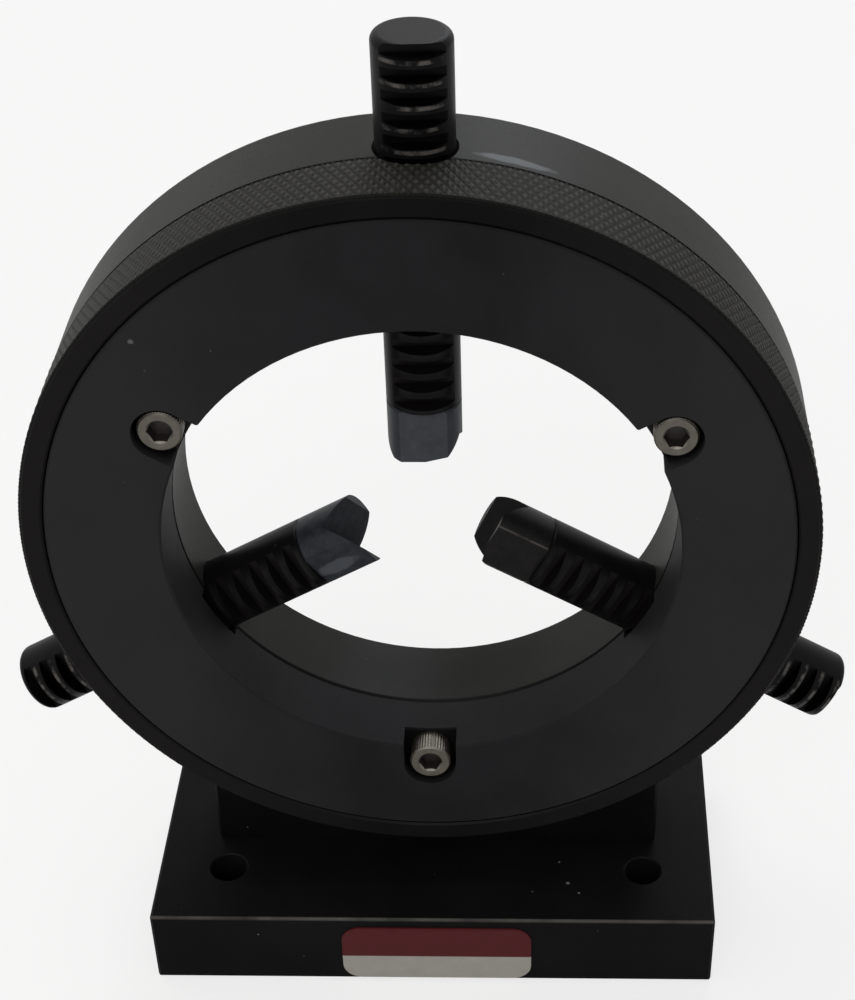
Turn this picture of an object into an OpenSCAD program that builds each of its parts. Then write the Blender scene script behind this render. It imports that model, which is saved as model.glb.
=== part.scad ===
// Self-centring lens mount: a housing ring on a pedestal and base plate,
// a knurled scroll ring that turns on the hub of a front plate, and three
// toothed jaw rods that the scroll moves in and out together.
// The origin is the middle of the underside of the base plate.
// +X is to the right seen from the front, -Y is the front, +Z is up.

/* [Base] */
// Length of the base plate from left to right
base_l = 101.6; // [94:0.2:130]
// Depth of the base plate from front to back
base_d = 50.8; // [44:0.2:76]
// Thickness of the base plate
base_t = 15.9; // [12:0.1:22]
// Broken edge round the base plate and the pedestal
base_edge = 0.5; // [0.2:0.1:1.2]
// Spacing of the bench holes along the length
hole_dx = 76.2; // [70:0.1:84]
// Spacing of the bench holes from front to back
hole_dy = 25.4; // [22:0.1:34]
// Diameter of the bench holes
hole_d = 6.6; // [5:0.1:8]
// Width of the chamfer at the mouth of a bench hole
hole_edge = 0.25; // [0.2:0.05:1]

/* [Pedestal] */
// Width of the pedestal block
ped_w = 81.2; // [74:0.2:90]
// Height of the shoulders of the pedestal above the base plate
ped_h = 24; // [20:0.5:27]
// Spacing of the screws that hold the housing in its saddle
saddle_dx = 44; // [36:0.5:50]
// Distance from the ends of the pedestal to the screws that hold it on the base plate
foot_in = 7.6; // [6:0.1:9]

/* [Housing] */
// Height of the lowest point of the housing above the base plate
saddle_h = 12.7; // [10:0.1:16]
// Outside diameter of the housing and of the scroll ring
body_d = 127; // [112:0.5:144]
// Width of the housing from front to back
body_w = 15.9; // [14.5:0.1:22]
// Distance from the middle of the base to the front face of the housing
body_front = 5.5; // [3:0.1:9]
// Radius of the rounded edge at the back of the housing
body_round = 1.2; // [0.5:0.1:3]
// Length of the thin rim that reaches forward over the scroll
rim_l = 3; // [2.8:0.1:4]
// Wall of the thin rim
rim_t = 1.15; // [0.8:0.05:1.6]
// Chamfer at the edges of the turned pieces
edge = 0.35; // [0.1:0.05:0.6]
// Chamfer at the mouth of the bore at the back
bore_edge = 1.5; // [0.5:0.1:2]

/* [Front plate] */
// How far the flange reaches out past the hub
flange_lip = 8.1; // [6.5:0.1:9]
// Thickness of the flange
flange_t = 3.2; // [2.5:0.1:3.8]
// Wall of the hub, from the clear bore to the scroll ring that turns on it
hub_wall = 10.2; // [9.8:0.1:12]
// Width of a slot in the back of the hub
slot_w = 9.6; // [9.4:0.1:12]
// Distance from the clear bore to the plate screws
screw_in = 4.2; // [4:0.1:5]
// Width of the notch round a plate screw
notch_w = 9; // [8:0.1:9.2]
// Depth of the notch round a plate screw
notch_t = 4.9; // [4.4:0.1:6]

/* [Scroll] */
// Length of the head from the front face to the housing
head_l = 12; // [11:0.1:16]
// Travel of the jaws for one turn of the scroll
pitch = 3.4; // [3.2:0.05:4]
// Width of the spiral rib
rib_w = 0.8; // [0.7:0.05:0.9]
// Width of the front face of the scroll ring
ring_land = 3.65; // [3.2:0.05:5]
// Chamfer at the outer front edge of the scroll ring
ring_edge = 0.5; // [0.2:0.1:1]
// Running clearance between the scroll ring and the hub
run_gap = 0.06; // [0.03:0.01:0.1]
// Axial clearance of the scroll ring
end_gap = 0.1; // [0.05:0.01:0.2]
// Width of the gap round the flange
seam_gap = 0.25; // [0.15:0.05:0.5]

/* [Jaws] */
// Diameter of a jaw rod
rod_d = 12; // [11.6:0.1:12.6]
// Length of the top jaw rod
rod_l = 60.8; // [56:0.2:70]
// Distance from the optical axis to the end of the top jaw
jaw_r = 10.4; // [9:0.1:24]
// How far a jaw rod stands forward of the face of the housing
rod_proud = 2; // [1.7:0.05:2.1]
// Distance from the axis of a rod to the floors of its grooves
floor_r = 3.65; // [3:0.05:3.7]
// Width of a tooth at its crest
crest_w = 1.1; // [0.9:0.05:1.2]
// Slope of the sides of a tooth
tooth_slope = 10; // [4:1:11]
// Distance from the inner end of a rod to its first crest
first_crest = 0.4; // [0:0.1:3]
// Radius of the rounded edge at the outer end of a rod
rod_round = 1.2; // [0.3:0.1:2]
// Turn of each jaw rod about its own axis: top, left, right
rod_turn = [5, 4, 0];

/* [Jaw tips] */
// Length of a jaw tip
tip_l = 9.6; // [9:0.1:13]
// Distance from the axis of a tip to its front flat
tip_flat = 4.7; // [4:0.1:5.8]
// Distance from the end of a tip to the root of its notch
notch_root = 4.5; // [3.5:0.1:5.2]
// Angle between the sides of the notch
notch_angle = 90; // [80:1:110]
// Turn of the notch from the flat
notch_turn = -15; // [-30:1:30]
// Width of the broken edges where a tip meets its rod
seam_edge = 0.3; // [0.1:0.05:0.5]
// Turn of each jaw tip about its own axis: top, left, right
tip_turn = [1, -15, -2];
// Diameter of the stud that joins a tip to its rod
stud_d = 4; // [3:0.1:5]
// Length of the stud in the rod
stud_l = 8; // [6:0.5:12]

/* [Screws] */
// Head diameter of a plate screw
cap_d = 6.86; // [6.4:0.02:7]
// Head height of a plate screw
cap_h = 4.17; // [3.6:0.01:4.2]
// Shank diameter of a plate screw
cap_shank = 4.17; // [3.8:0.01:4.2]
// Length of a plate screw under its head
cap_l = 15; // [12:0.5:18]
// Width across flats of the socket in a plate screw
cap_hex = 3.57; // [3:0.01:3.6]
// Head diameter of a frame screw
bolt_d = 8.6; // [8:0.1:9]
// Head height of a frame screw
bolt_h = 5; // [4:0.1:5.5]
// Shank diameter of a frame screw
bolt_shank = 5; // [4.4:0.1:5.2]
// How deep the head of a frame screw is sunk
bolt_sink = 1; // [0.5:0.1:2]
// Length of a frame screw in its thread
bolt_grip = 9; // [7:0.5:10]

/* [Hidden] */
$fn = 96;

// angles seen from the front, counter-clockwise from the right
ang_top = 90;
ang_left = ang_top + 120;
ang_right = ang_top + 240;

body_r = body_d / 2;
axis_z = base_t + saddle_h + body_r;     // height of the optical axis
flange_r = body_r - ring_land - seam_gap;
hub_r = flange_r - flange_lip;
bore_r = hub_r - hub_wall;               // clear bore
screw_r = bore_r + screw_in;             // circle of the plate screws
foot_dx = ped_w - 2 * foot_in;
face_y = -body_front;                    // front face of the housing
back_y = face_y + body_w;                // back face of the housing
front_y = face_y - head_l;               // front face of plate and scroll
mid_y = (face_y + back_y) / 2;           // middle of housing and pedestal
rim_y = face_y - rim_l;                  // front edge of the housing rim
rim_in = body_r - rim_t;                 // inside of the housing rim
spigot_r = rim_in - 0.15;                // part of the scroll inside the rim
rod_r = rod_d / 2;
rod_y = face_y - rod_proud + rod_r;      // axes of the rods
rod_in = jaw_r + tip_l;                  // inner end of the top rod
rod_out = rod_in + rod_l;                // outer ends of the rods
slide_gap = run_gap;                     // round a rod in its hole
slot_t = rod_proud + 0.35;               // depth of a slot in the hub
fit_gap = 0.02;                          // between pieces bolted together
bolt_gap = 0.25;                         // round a screw in a plain hole
thread_gap = 0.05;                       // round a screw in a tapped hole

// the spiral: its groove takes the crests of the three rods at rest
groove_w = pitch - rib_w;
thread_t = rod_proud + 0.3;
tooth_half = sqrt(rod_r * rod_r - pow(rod_r - rod_proud, 2));
tooth_sag = (sqrt(pow((hub_r + spigot_r) / 2, 2) + tooth_half * tooth_half) - (hub_r + spigot_r) / 2) / 2;
thread_step = 3;
crest_0 = rod_in + first_crest;
thread_n = ceil((spigot_r + pitch - crest_0) / pitch);
thread_ref = crest_0 + pitch * (thread_n + ang_top / 360) + tooth_sag;
ring_bore_r = hub_r + run_gap;
// the ends of the rib are cut off square where it would run out thin
nib = 0.08;
least_rib = 0.4;
groove_start = thread_angle(spigot_r - nib, -1);
rib_start = thread_angle(spigot_r - least_rib, 1);
rib_end = thread_angle(ring_bore_r + least_rib, -1);
groove_end = thread_angle(ring_bore_r + nib, 1);
function thread_angle(r, side) = (thread_ref + side * groove_w/2 - r) / pitch * 360;
function thread_r(a) = thread_ref - pitch * a / 360;
// the rods are alike, and each meets the spiral a third of its pitch further out than the one before
function stagger(a) = let (s = -pitch * (a - ang_top) / 360) s - pitch * floor(s / pitch);

black = [0.13, 0.13, 0.14];
soft_black = [0.17, 0.17, 0.17];
satin = [0.09, 0.09, 0.10];
steel = [0.60, 0.58, 0.55];
dark_steel = [0.16, 0.16, 0.17];
slate = [0.25, 0.28, 0.31];

// a turned shape about the optical axis, from points [radius, y]
module turned(points) {
    translate([0, 0, axis_z]) rotate([-90, 0, 0]) rotate_extrude($fn = 180) polygon(points);
}

// puts a shape that lies along +X from the optical axis at an angle
module radial(a) {
    translate([0, 0, axis_z]) rotate([0, -a, 0]) children();
}

module chamfered_rect(l, d, c) {
    polygon([[-l/2 + c, -d/2], [l/2 - c, -d/2], [l/2, -d/2 + c], [l/2, d/2 - c],
             [l/2 - c, d/2], [-l/2 + c, d/2], [-l/2, d/2 - c], [-l/2, -d/2 + c]]);
}

// a block on the XY plane with all its edges broken
module broken_block(l, d, h, c) {
    intersection() {
        linear_extrude(h) chamfered_rect(l, d, c);
        translate([0, d/2, h/2]) rotate([90, 0, 0]) linear_extrude(d) chamfered_rect(l, h, c);
        translate([-l/2, 0, h/2]) rotate([90, 0, 90]) linear_extrude(l) chamfered_rect(d, h, c);
    }
}

// a socket head cap screw: seat of the head at the origin, shank along +Z
module cap_screw(d, h, shank, len, hex) {
    c = d * 0.06;
    rim = d * 0.03;
    difference() {
        rotate_extrude() polygon([[0, -h], [d/2 - rim, -h], [d/2, -h + rim], [d/2, 0],
                                  [shank/2, 0], [shank/2, len - c], [shank/2 - c, len], [0, len]]);
        rotate([0, 0, 30]) translate([0, 0, -h - 0.01]) cylinder(d = hex / cos(30), h = h * 0.55, $fn = 6);
        translate([0, 0, -h - 0.01]) cylinder(d1 = hex * 1.2, d2 = hex * 0.96, h = hex * 0.1);
    }
}

module plate_screw(a) {
    color(steel) radial(a) translate([screw_r, front_y + notch_t, 0]) rotate([-90, 0, 0])
        cap_screw(cap_d, cap_h, cap_shank, cap_l, cap_hex);
}

// --- frame ---

bolt_seat = bolt_h + bolt_sink;
base_bolt_l = base_t - bolt_seat + bolt_grip;
saddle_z = axis_z - sqrt(body_r * body_r - pow(saddle_dx / 2, 2));
saddle_bolt_l = saddle_z + bolt_grip - (base_t + bolt_seat);

module base_plate() {
    color(black) difference() {
        broken_block(base_l, base_d, base_t, base_edge);
        for (sx = [-1, 1], sy = [-1, 1]) translate([sx * hole_dx/2, sy * hole_dy/2, 0]) {
            translate([0, 0, -1]) cylinder(d = hole_d, h = base_t + 2);
            translate([0, 0, base_t - hole_edge]) cylinder(d1 = hole_d, d2 = hole_d + 4 * hole_edge, h = 2 * hole_edge);
        }
        for (s = [-1, 1]) translate([s * foot_dx/2, mid_y, 0]) {
            translate([0, 0, -1]) cylinder(d = bolt_d + 2 * bolt_gap, h = bolt_seat + 1);
            translate([0, 0, -1]) cylinder(d = bolt_shank + 2 * bolt_gap, h = base_t + 2);
        }
    }
}

module pedestal() {
    color(soft_black) difference() {
        translate([0, mid_y, base_t]) broken_block(ped_w, body_w, ped_h, base_edge);
        translate([0, face_y - 1, axis_z]) rotate([-90, 0, 0]) cylinder(r = body_r + fit_gap, h = body_w + 2, $fn = 180);
        for (s = [-1, 1]) {
            translate([s * saddle_dx/2, mid_y, base_t - 1]) cylinder(d = bolt_d + 2 * bolt_gap, h = bolt_seat + 1);
            translate([s * saddle_dx/2, mid_y, base_t - 1]) cylinder(d = bolt_shank + 2 * bolt_gap, h = ped_h);
            translate([s * foot_dx/2, mid_y, base_t - 1]) cylinder(d = bolt_shank + 2 * thread_gap, h = bolt_grip + 2);
        }
    }
}

module base_screw(s) {
    color(dark_steel) translate([s * foot_dx/2, mid_y, bolt_seat])
        cap_screw(bolt_d, bolt_h, bolt_shank, base_bolt_l, bolt_shank * 0.8);
}

module saddle_screw(s) {
    color(dark_steel) translate([s * saddle_dx/2, mid_y, base_t + bolt_seat])
        cap_screw(bolt_d, bolt_h, bolt_shank, saddle_bolt_l, bolt_shank * 0.8);
}

// --- housing ---

module housing() {
    n = 8;
    color(soft_black) difference() {
        turned(concat(
            [[bore_r + edge, face_y], [rim_in, face_y], [rim_in, rim_y + edge/2], [rim_in + edge/2, rim_y],
             [body_r - edge/2, rim_y], [body_r, rim_y + edge/2],
             [body_r, face_y - 0.2], [body_r - 0.3, face_y], [body_r, face_y + 0.2]],
            [for (i = [0:n]) [body_r - body_round + body_round * cos(90 * i/n),
                              back_y - body_round + body_round * sin(90 * i/n)]],
            [[bore_r + bore_edge, back_y], [bore_r, back_y - bore_edge], [bore_r, face_y + edge]]));
        for (a = [ang_top, ang_left, ang_right]) radial(a) {
            // guide hole of a jaw rod, open at the front
            translate([bore_r - 3, rod_y, 0]) rotate([0, 90, 0]) cylinder(r = rod_r + slide_gap, h = body_r - bore_r + 6);
            // countersink where it leaves the outside
            translate([body_r - 0.9, rod_y, 0]) rotate([0, 90, 0]) cylinder(r1 = rod_r + slide_gap, r2 = rod_r + slide_gap + 1, h = 1.5);
        }
        for (a = [30, 150, 270]) radial(a) translate([screw_r, face_y - 1, 0]) rotate([-90, 0, 0])
            cylinder(d = cap_shank + 2 * thread_gap, h = cap_l + notch_t - head_l + 2.5);
        for (s = [-1, 1]) translate([s * saddle_dx/2, mid_y, base_t]) cylinder(d = bolt_shank + 2 * thread_gap, h = saddle_z + bolt_grip + 1.5 - base_t);
    }
}

// --- front plate: a flange and a hub in one piece ---

module front_plate() {
    color(black) difference() {
        turned([[bore_r + edge, front_y], [flange_r - edge, front_y], [flange_r, front_y + edge],
                [flange_r, front_y + flange_t], [hub_r, front_y + flange_t], [hub_r, face_y - fit_gap],
                [bore_r + edge, face_y - fit_gap], [bore_r, face_y - fit_gap - edge], [bore_r, front_y + edge]]);
        // notches round the plate screws, open to the bore
        for (a = [30, 150, 270]) radial(a) {
            translate([screw_r - 0.2, front_y - 1, 0]) rotate([-90, 0, 0]) cylinder(d = notch_w, h = notch_t + 1);
            translate([bore_r - 4, front_y - 1, -notch_w/2]) cube([screw_r - 0.2 - bore_r + 4, notch_t + 1, notch_w]);
            translate([screw_r, front_y, 0]) rotate([-90, 0, 0]) cylinder(d = cap_shank + 2 * bolt_gap, h = head_l + 1);
        }
        // slots that clear the jaw rods
        for (a = [ang_top, ang_left, ang_right]) radial(a)
            translate([bore_r - 3, face_y - slot_t, -slot_w/2]) cube([hub_r - bore_r + 6, slot_t + 1, slot_w]);
    }
}

// --- scroll ring ---

module thread_outline() {
    out_r = spigot_r + 1;
    in_r = ring_bore_r - 1;
    polygon(concat(
        [for (a = [groove_start:thread_step:rib_start]) out_r * [cos(a), sin(a)]],
        [out_r * [cos(rib_start), sin(rib_start)]],
        [for (a = [rib_start:thread_step:groove_end]) (thread_r(a) + groove_w/2) * [cos(a), sin(a)]],
        [(thread_r(groove_end) + groove_w/2) * [cos(groove_end), sin(groove_end)]],
        [for (a = [groove_end:-thread_step:rib_end]) in_r * [cos(a), sin(a)]],
        [in_r * [cos(rib_end), sin(rib_end)]],
        [for (a = [rib_end:-thread_step:groove_start]) (thread_r(a) - groove_w/2) * [cos(a), sin(a)]],
        [(thread_r(groove_start) - groove_w/2) * [cos(groove_start), sin(groove_start)]]));
}

module scroll_ring() {
    floor_y = front_y + flange_t + end_gap;
    color(satin) difference() {
        turned([[flange_r + seam_gap + edge, front_y], [body_r - ring_edge, front_y], [body_r, front_y + ring_edge],
                [body_r, rim_y - end_gap - edge/2], [body_r - edge/2, rim_y - end_gap], [spigot_r, rim_y - end_gap],
                [spigot_r, face_y - end_gap], [ring_bore_r, face_y - end_gap],
                [ring_bore_r, floor_y], [flange_r + seam_gap, floor_y], [flange_r + seam_gap, front_y + edge]]);
        translate([0, face_y - end_gap + 1, axis_z]) rotate([90, 0, 0]) linear_extrude(thread_t + 1) thread_outline();
    }
}

// --- jaws ---

// one groove, as a shape in the plane of the rod axis and the front
module groove_outline() {
    t = tan(tooth_slope);
    w = (pitch - crest_w) / 2;
    polygon([[-w - 0.5 * t, -rod_r - 0.5], [w + 0.5 * t, -rod_r - 0.5],
             [w - (rod_r - floor_r) * t, -floor_r], [-w + (rod_r - floor_r) * t, -floor_r]]);
}

module jaw_rod(a, turn) {
    n = 6;
    l = rod_l - stagger(a);
    color(satin) radial(a) translate([rod_in + stagger(a), rod_y, 0]) rotate([turn, 0, 0]) difference() {
        rotate([0, 90, 0]) rotate_extrude() polygon(concat(
            [[0, 0], [rod_r - seam_edge, 0], [rod_r, seam_edge]],
            [for (i = [0:n]) [rod_r - rod_round + rod_round * cos(90 * i/n), l - rod_round + rod_round * sin(90 * i/n)]],
            [[0, l]]));
        for (k = [0:ceil(l / pitch)]) if (first_crest + (k - 0.5) * pitch < l + pitch * 0.35)
            translate([first_crest + (k - 0.5) * pitch, 0, -rod_r - 1]) linear_extrude(2 * rod_r + 2) groove_outline();
        translate([-1, 0, 0]) rotate([0, 90, 0]) cylinder(d = stud_d + 2 * thread_gap, h = stud_l + 1.5);
    }
}

module jaw_tip(a, turn) {
    half = (notch_root + 1) * tan(notch_angle / 2);
    color(slate) radial(a) translate([jaw_r + stagger(a), rod_y, 0]) rotate([turn, 0, 0]) difference() {
        rotate([0, 90, 0]) rotate_extrude() polygon([
            [0, 0], [rod_r, 0], [rod_r, tip_l - seam_edge], [rod_r - seam_edge, tip_l], [0, tip_l]]);
        // flat on the front
        translate([-1, -rod_r - 2, -rod_r - 1]) cube([tip_l + 2, rod_r + 2 - tip_flat, 2 * rod_r + 2]);
        // notch across the end that takes the rim of a lens
        rotate([notch_turn, 0, 0]) translate([0, 0, -rod_r - 1]) linear_extrude(2 * rod_r + 2)
            polygon([[-1, -half], [notch_root, 0], [-1, half]]);
        translate([tip_l - 3, 0, 0]) rotate([0, 90, 0]) cylinder(d = stud_d + 2 * thread_gap, h = 4);
    }
}

module jaw_stud(a) {
    color(dark_steel) radial(a) translate([rod_in + stagger(a) - 3 + fit_gap, rod_y, 0]) rotate([0, 90, 0])
        cylinder(d = stud_d, h = stud_l + 3);
}

base_plate();
pedestal();
housing();
scroll_ring();
front_plate();
jaw_rod(ang_top, rod_turn[0]);  // jaw_rod_top
jaw_rod(ang_left, rod_turn[1]);  // jaw_rod_left
jaw_rod(ang_right, rod_turn[2]);  // jaw_rod_right
jaw_tip(ang_top, tip_turn[0]);  // jaw_tip_top
jaw_tip(ang_left, tip_turn[1]);  // jaw_tip_left
jaw_tip(ang_right, tip_turn[2]);  // jaw_tip_right
jaw_stud(ang_top);  // jaw_stud_top
jaw_stud(ang_left);  // jaw_stud_left
jaw_stud(ang_right);  // jaw_stud_right
plate_screw(150);  // plate_screw_left
plate_screw(30);  // plate_screw_right
plate_screw(270);  // plate_screw_bottom
saddle_screw(-1);  // saddle_screw_left
saddle_screw(1);  // saddle_screw_right
base_screw(-1);  // base_screw_left
base_screw(1);  // base_screw_right
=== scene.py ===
import math

import bmesh
import bpy
from mathutils import Matrix, Vector


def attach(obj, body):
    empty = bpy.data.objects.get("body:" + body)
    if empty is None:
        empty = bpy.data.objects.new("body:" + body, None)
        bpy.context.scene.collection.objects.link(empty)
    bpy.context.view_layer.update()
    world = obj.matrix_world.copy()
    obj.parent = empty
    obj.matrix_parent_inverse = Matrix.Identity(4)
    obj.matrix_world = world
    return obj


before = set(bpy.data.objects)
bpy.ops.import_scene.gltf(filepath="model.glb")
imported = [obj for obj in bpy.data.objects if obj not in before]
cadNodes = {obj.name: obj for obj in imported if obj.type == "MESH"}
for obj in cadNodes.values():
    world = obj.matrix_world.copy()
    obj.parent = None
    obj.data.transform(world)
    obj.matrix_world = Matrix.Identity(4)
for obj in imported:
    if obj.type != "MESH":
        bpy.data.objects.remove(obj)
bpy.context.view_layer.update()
mm = 0.001

axisHeight = 92.1 * mm      # optical axis above the bench
frontY = -17.5 * mm         # front faces of plate and scroll ring
faceY = -5.5 * mm           # front face of the housing
rodY = -1.50 * mm           # axes of the jaw rods
bodyRadius = 63.5 * mm      # outside of housing and scroll ring

# places round the axis in degrees, anticlockwise from the right as seen from the front
jawAngles = {"top": 90, "left": 210, "right": 330}
screwAngles = {"left": 150, "right": 30, "bottom": 270}
screwCircle = 45.5 * mm     # radius on which the plate screws sit
basePlate = {"front": -25.4, "top": 15.9}   # its front and upper faces, in mm

# noise keeps close to 0.5, so these parts of its range are stretched to run from 0 to 1
cloudSpread = (0.35, 0.65)
grainSpread = (0.3, 0.7)


def linearColour(code):
    parts = [int(code[i:i + 2], 16) / 255 for i in (1, 3, 5)]
    return [p / 12.92 if p <= 0.04045 else ((p + 0.055) / 1.055) ** 2.4 for p in parts] + [1]


def startMaterial(name):
    material = bpy.data.materials.new(name)
    material.use_nodes = True
    tree = material.node_tree
    return material, tree, tree.nodes["Principled BSDF"]


def addNode(tree, kind, settings=None, inputs=None):
    # inputs: socket name or number -> a value, or (node, output) to link
    node = tree.nodes.new("ShaderNode" + kind)
    for key, value in (settings or {}).items():
        setattr(node, key, value)
    for key, value in (inputs or {}).items():
        if isinstance(value, tuple) and isinstance(value[0], bpy.types.Node):
            tree.links.new(value[0].outputs[value[1]], node.inputs[key])
        else:
            node.inputs[key].default_value = value
    return node


def linkSkin(tree, shader, colour, rough, bump):
    tree.links.new(colour.outputs[2], shader.inputs["Base Color"])
    tree.links.new(rough.outputs["Result"], shader.inputs["Roughness"])
    tree.links.new(bump.outputs["Normal"], shader.inputs["Normal"])


# each point's offset from the optical axis, flat on the front, and its distance from that axis
def fromAxis(tree, place):
    flat = addNode(tree, "VectorMath", {"operation": "MULTIPLY_ADD"}, {
        0: (place, "Object"), 1: (1, 0, 1), 2: (0, 0, -axisHeight)})
    return flat, addNode(tree, "VectorMath", {"operation": "LENGTH"}, {0: (flat, 0)})


# lint and pale dust lie on the dark skins, a few specks in each square centimetre; the joint between
# housing and front is painted as a black line, which is painted shade in the gap there; lengths in mm
dustAndJointShade = {"dust": "#8d8a84", "speckCore": 0.4, "bareCells": 0.45,
           "joint": "#030303", "jointEdge": 0.66, "jointCore": 0.52}


# anodised aluminium: a dyed, slightly porous oxide skin over a machined or blasted face,
# so it is dark, a little uneven in tone and duller where the grain is coarse
def anodised(name, look):
    material, tree, shader = startMaterial(name)
    place = addNode(tree, "TexCoord")
    blotch = addNode(tree, "TexNoise", inputs={
        "Vector": (place, "Object"), "Scale": 1 / (look["blotch"] * mm), "Detail": 3.0})
    tone = addNode(tree, "MapRange", inputs={
        "Value": (blotch, "Fac"), "From Min": cloudSpread[0], "From Max": cloudSpread[1]})
    colour = addNode(tree, "Mix", {"data_type": "RGBA"}, {
        0: (tone, "Result"), 6: linearColour(look["dark"]), 7: linearColour(look["light"])})
    grain = addNode(tree, "TexNoise", inputs={
        "Vector": (place, "Object"), "Scale": 1 / (look["grain"] * mm), "Detail": 4.0,
        "Roughness": 0.6})
    # one speck in the middle of a cell, and only in some cells
    cells = addNode(tree, "TexVoronoi", inputs={
        "Vector": (place, "Object"), "Scale": 1 / (look["dustGap"] * mm)})
    near = addNode(tree, "MapRange", inputs={
        "Value": (cells, "Distance"), "From Min": look["dustSize"],
        "From Max": look["dustSize"] * dustAndJointShade["speckCore"]})
    pick = addNode(tree, "SeparateColor", inputs={0: (cells, "Color")})
    some = addNode(tree, "MapRange", inputs={
        "Value": (pick, 0), "From Min": dustAndJointShade["bareCells"], "From Max": 1.0,
        "To Max": look["dust"]})
    speck = addNode(tree, "Math", {"operation": "MULTIPLY"}, {0: (near, "Result"), 1: (some, "Result")})
    dusty = addNode(tree, "Mix", {"data_type": "RGBA"}, {
        0: (speck, 0), 6: (colour, 2), 7: linearColour(dustAndJointShade["dust"])})
    # tool marks: rings round the optical axis on faces, rings along it on turned walls
    radius = fromAxis(tree, place)[1]
    axes = addNode(tree, "SeparateXYZ", inputs={0: (place, "Object")})
    along = {"face": (radius, 1), "wall": (axes, 1), "length": (axes, 0)}[look["marks"]]
    wander = addNode(tree, "TexNoise", {"noise_dimensions": "1D"}, {
        "W": along, "Scale": 1 / (look["pitch"] * mm), "Detail": 2.0})
    marks = addNode(tree, "Math", {"operation": "MULTIPLY"}, {0: (wander, "Fac"), 1: look["markDepth"]})
    height = addNode(tree, "Math", {"operation": "MULTIPLY_ADD"}, {
        0: (grain, "Fac"), 1: look["grainDepth"], 2: (marks, 0)})
    bump = addNode(tree, "Bump", inputs={"Height": (height, 0), "Distance": 0.01 * mm, "Strength": 1.0})
    rough = addNode(tree, "MapRange", inputs={
        "Value": (grain, "Fac"), "From Min": grainSpread[0], "From Max": grainSpread[1],
        "To Min": look["smooth"], "To Max": look["rough"]})
    # painted shade: a black band along the joint at the front face of the housing
    fromJoint = addNode(tree, "Math", {"operation": "SUBTRACT"}, {0: (axes, 1), 1: faceY})
    jointGap = addNode(tree, "Math", {"operation": "ABSOLUTE"}, {0: (fromJoint, 0)})
    jointShadeMask = addNode(tree, "MapRange", inputs={
        "Value": (jointGap, 0), "From Min": dustAndJointShade["jointEdge"] * mm,
        "From Max": dustAndJointShade["jointCore"] * mm, "To Max": look["jointShade"]})
    skinColour = addNode(tree, "Mix", {"data_type": "RGBA"}, {
        0: (jointShadeMask, "Result"), 6: (dusty, 2), 7: linearColour(dustAndJointShade["joint"])})
    linkSkin(tree, shader, skinColour, rough, bump)
    shader.inputs["Specular IOR Level"].default_value = look["specular"]
    return material, tree, shader, place, skinColour


# where the oxide has worn through, the bare aluminium shows, and on the housing the same mix paints a
# highlight: mask is an output of 0 to 1
bareMetal = {"colour": "#a8a39a", "metallic": 0.6}


def wearAndHighlight(tree, shader, skin, mask, colour=bareMetal["colour"]):
    worn = addNode(tree, "Mix", {"data_type": "RGBA"}, {0: mask, 6: (skin, 2), 7: linearColour(colour)})
    metal = addNode(tree, "Math", {"operation": "MULTIPLY"}, {0: mask, 1: bareMetal["metallic"]})
    tree.links.new(worn.outputs[2], shader.inputs["Base Color"])
    tree.links.new(metal.outputs[0], shader.inputs["Metallic"])


# an oval for painted highlights and painted shade: round a centre, with a long and a short half axis, all
# in mm; its edge is frayed by noise
fray = {"size": 1.5, "amount": 0.5, "edge": 1.3}


def paintedOval(tree, place, oval):
    outward = Vector(oval["along"]).cross(Vector(oval["across"])).normalized()
    offset = addNode(tree, "VectorMath", {"operation": "SUBTRACT"}, {
        0: (place, "Object"), 1: [c * mm for c in oval["at"]]})
    shares = {}
    halves = [(oval["along"], oval["long"]), (oval["across"], oval["short"]), (outward, oval["short"])]
    for socket, (direction, half) in enumerate(halves):
        share = addNode(tree, "VectorMath", {"operation": "DOT_PRODUCT"}, {
            0: (offset, 0), 1: [c / (half * mm) for c in direction]})
        shares[socket] = (share, 1)
    inOval = addNode(tree, "CombineXYZ", inputs=shares)
    reach = addNode(tree, "VectorMath", {"operation": "LENGTH"}, {0: (inOval, 0)})
    ragged = addNode(tree, "TexNoise", inputs={
        "Vector": (place, "Object"), "Scale": 1 / (fray["size"] * mm), "Detail": 3.0})
    frayed = addNode(tree, "Math", {"operation": "MULTIPLY_ADD"}, {
        0: (ragged, "Fac"), 1: fray["amount"], 2: (reach, 1)})
    return addNode(tree, "MapRange", inputs={
        "Value": (frayed, 0), "From Min": fray["edge"], "From Max": fray["edge"] - oval["soft"],
        "To Max": oval["amount"]})


# a chip: a small round place whose edge wanders by fray; lengths in mm
def chipMask(tree, place, ragged, chip):
    gap = addNode(tree, "VectorMath", {"operation": "DISTANCE"}, {
        0: (place, "Object"), 1: [c * mm for c in chip["at"]]})
    frayed = addNode(tree, "Math", {"operation": "MULTIPLY_ADD"}, {
        0: (ragged, "Fac"), 1: chip["fray"] * mm, 2: (gap, 1)})
    return addNode(tree, "MapRange", inputs={
        "Value": (frayed, 0), "From Min": chip["edge"] * mm, "From Max": chip["core"] * mm,
        "To Max": chip["amount"]})


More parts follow.
